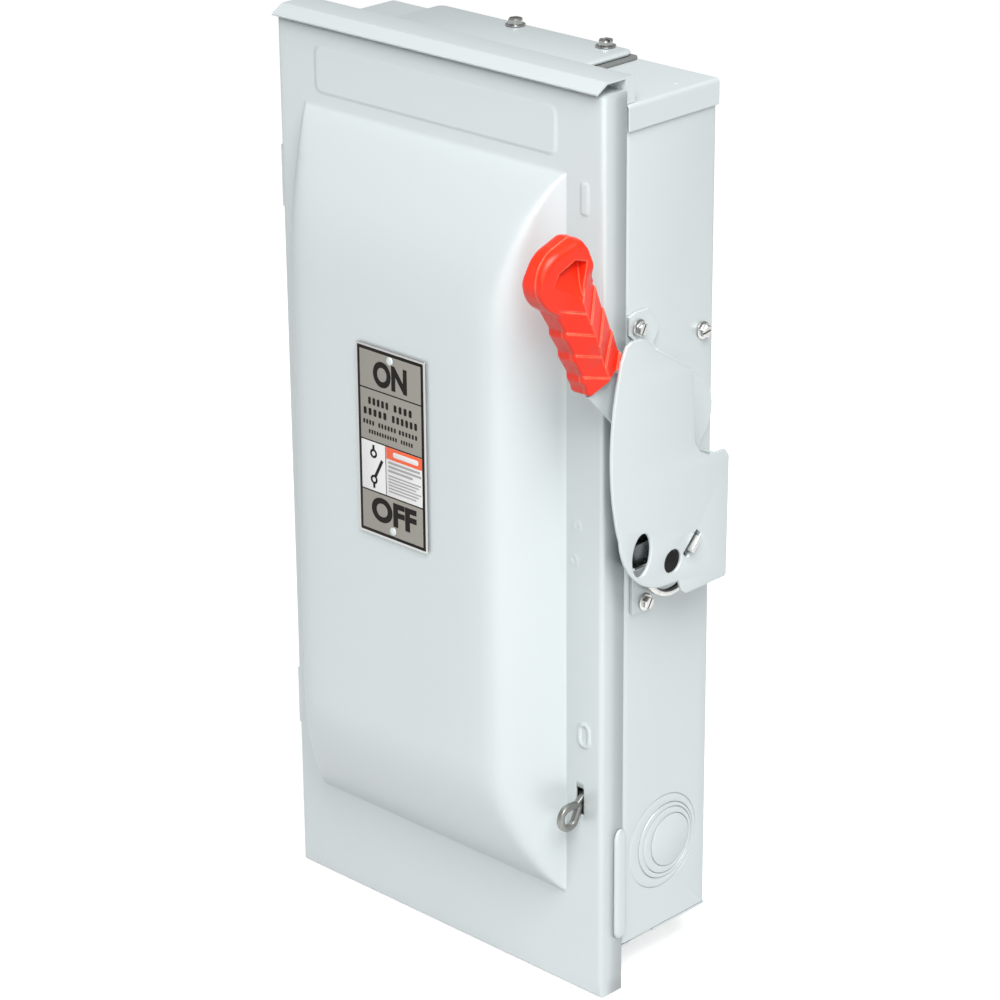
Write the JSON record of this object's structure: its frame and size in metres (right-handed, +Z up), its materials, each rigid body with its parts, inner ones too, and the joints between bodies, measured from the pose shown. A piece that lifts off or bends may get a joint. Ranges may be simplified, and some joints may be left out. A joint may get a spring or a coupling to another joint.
{
  "type": "ac disconnect switch box",
  "caption": "Wall-mounted steel disconnect switch box with a domed hinged door, drip hood, side lever handle in a guard, and knife-blade switch inside.",
  "frame": {"origin": "centre of the enclosure's back face, on the wall", "axes": "+Y into the wall, +Z up, +X to the right as seen from the front"},
  "size_m": [0.3053, 0.172, 0.5927],
  "materials": {
    "grey_enamel": "light cool grey baked enamel, satin, very fine orange peel",
    "zinc_plated_steel": "bright zinc-plated steel",
    "die_cast_zinc": "matt die-cast zinc, warm grey",
    "red_plastic": "red-orange moulded plastic, satin",
    "black_moulding": "black thermoset moulding",
    "fibre_shield": "grey insulating sheet",
    "gasket_rubber": "dark grey closed-cell rubber",
    "label_metal": "printed aluminium plate with black borders",
    "aluminium": "tin-plated aluminium",
    "copper": "bare copper"
  },
  "bodies": {
    "enclosure": {"base_screw_lower": "zinc_plated_steel", "base_screw_rear": "zinc_plated_steel", "base_screw_upper": "zinc_plated_steel", "bottom_endwall": "grey_enamel", "door_guard_bead": "grey_enamel", "drip_hood": "grey_enamel", "enclosure_body": "grey_enamel", "ground_bar": "aluminium", "handle_guard": "grey_enamel", "hinge_lower_box_leaf": "grey_enamel", "hinge_upper_box_leaf": "grey_enamel", "hub_cover_plate": "grey_enamel", "hub_gasket": "gasket_rubber", "hub_screw_left": "zinc_plated_steel", "hub_screw_right": "zinc_plated_steel", "knockout_ring_1": "grey_enamel", "knockout_ring_2": "grey_enamel", "knockout_ring_3": "grey_enamel", "knockout_ring_4": "grey_enamel", "line_screw_1": "zinc_plated_steel", "line_screw_2": "zinc_plated_steel", "line_screw_3": "zinc_plated_steel", "line_shield": "fibre_shield", "line_terminal_1": "aluminium", "line_terminal_2": "aluminium", "line_terminal_3": "aluminium", "load_screw_1": "zinc_plated_steel", "load_screw_2": "zinc_plated_steel", "load_screw_3": "zinc_plated_steel", "load_terminal_1": "aluminium", "load_terminal_2": "aluminium", "load_terminal_3": "aluminium", "mechanism_base_plate": "grey_enamel", "mechanism_frame": "zinc_plated_steel", "padlock_plate": "zinc_plated_steel", "switch_base": "black_moulding", "toggle_spring": "zinc_plated_steel", "top_endwall": "grey_enamel"},
    "door": {"door_shell": "grey_enamel", "nameplate": "label_metal", "nameplate_rivet_top": "zinc_plated_steel", "nameplate_rivet_bottom": "zinc_plated_steel", "hinge_upper_door_leaf": "grey_enamel", "hinge_lower_door_leaf": "grey_enamel", "latch_bracket": "zinc_plated_steel"},
    "latch": {"latch_ring": "die_cast_zinc"},
    "handle": {"handle_shaft": "zinc_plated_steel", "handle_lever": "grey_enamel", "grip_outer_half": "red_plastic", "grip_inner_half": "red_plastic", "grip_screw_upper": "zinc_plated_steel", "grip_screw_lower": "zinc_plated_steel"},
    "link": {"drive_link": "zinc_plated_steel"},
    "rotor": {"rotor_shaft": "zinc_plated_steel", "rotor_crossbar": "black_moulding", "blade_1": "copper", "blade_2": "copper", "blade_3": "copper"},
    "interlock": {"interlock_tab": "zinc_plated_steel"}
  },
  "joints": [
    {"name": "door_swing", "type": "hinge", "parent": "enclosure", "child": "door", "pos_m": [-0.1395, -0.08, 0], "axis": [0, 0, -1], "range_deg": [0, 120]},
    {"name": "handle_turn", "type": "hinge", "parent": "enclosure", "child": "handle", "pos_m": [0.1495, -0.05, 0.0475], "axis": [1, 0, 0], "range_deg": [0, 110]},
    {"name": "rotor_turn", "type": "hinge", "parent": "enclosure", "child": "rotor", "pos_m": [0, -0.054, 0.11], "axis": [1, 0, 0], "range_deg": [0, 110]},
    {"name": "link_swing", "type": "hinge", "parent": "handle", "child": "link", "pos_m": [0.105, -0.036, 0.0475], "axis": [1, 0, 0], "range_deg": [-110, 0]},
    {"name": "latch_turn", "type": "hinge", "parent": "door", "child": "latch", "pos_m": [0.118, -0.092, -0.165], "axis": [-1, 0, 0], "range_deg": [0, 25], "stiffness_Nm_per_rad": 0.02, "springref_deg": -17.19},
    {"name": "interlock_slide", "type": "slide", "parent": "enclosure", "child": "interlock", "axis": [0, -0.7001, -0.7141], "range_m": [0, 0.0025], "stiffness_N_per_m": 60, "springref_m": -0.003}
  ],
  "couplings": [
    {"joint": "rotor_turn", "follows": "handle_turn", "ratio": 1},
    {"joint": "link_swing", "follows": "handle_turn", "ratio": -1}
  ]
}
